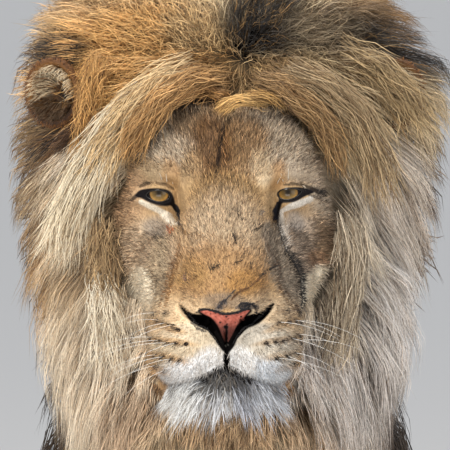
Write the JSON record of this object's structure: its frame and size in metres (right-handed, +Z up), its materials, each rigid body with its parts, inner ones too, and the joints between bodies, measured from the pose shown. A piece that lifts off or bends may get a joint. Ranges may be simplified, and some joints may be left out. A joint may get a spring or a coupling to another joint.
{
  "type": "adult male lion, standing, life size",
  "caption": "A life-size adult male lion with a full mane, standing on all four paws and looking straight ahead, mouth closed, tail hanging.",
  "frame": {"origin": "on the floor, under the middle of the animal's bounding box", "axes": "+Z up; the nose points to -Y and the tail to +Y; the animal's left side is +X"},
  "size_m": [0.4668, 1.997, 1.2714],
  "materials": {
    "coat": "short tawny fur, matt",
    "face_coat": "very short fur, tawny and grey with white lips and chin, matt",
    "mane": "long hair, golden to cream, soft sheen",
    "dark_mane": "long dark brown to black hair, soft sheen",
    "nose_leather": "moist pink-red nose leather with black edges",
    "eye": "polished amber-brown eye"
  },
  "bodies": {
    "root": {"head": "face_coat", "lower_jaw": "face_coat", "nose": "nose_leather", "eye_left": "eye", "eye_right": "eye", "ear_left": "face_coat", "ear_right": "face_coat", "mane_ruff": "mane", "neck": "mane", "mane_breast": "dark_mane", "trunk_front": "coat", "trunk_rear": "coat", "upper_foreleg_left": "coat", "forearm_left": "coat", "forepaw_left": "coat", "upper_foreleg_right": "coat", "forearm_right": "coat", "forepaw_right": "coat", "thigh_left": "coat", "shank_left": "coat", "hind_foot_left": "coat", "hind_paw_left": "coat", "thigh_right": "coat", "shank_right": "coat", "hind_foot_right": "coat", "hind_paw_right": "coat", "tail_base": "coat", "tail_middle": "coat", "tail_tuft": "dark_mane"}
  },
  "joints": []
}
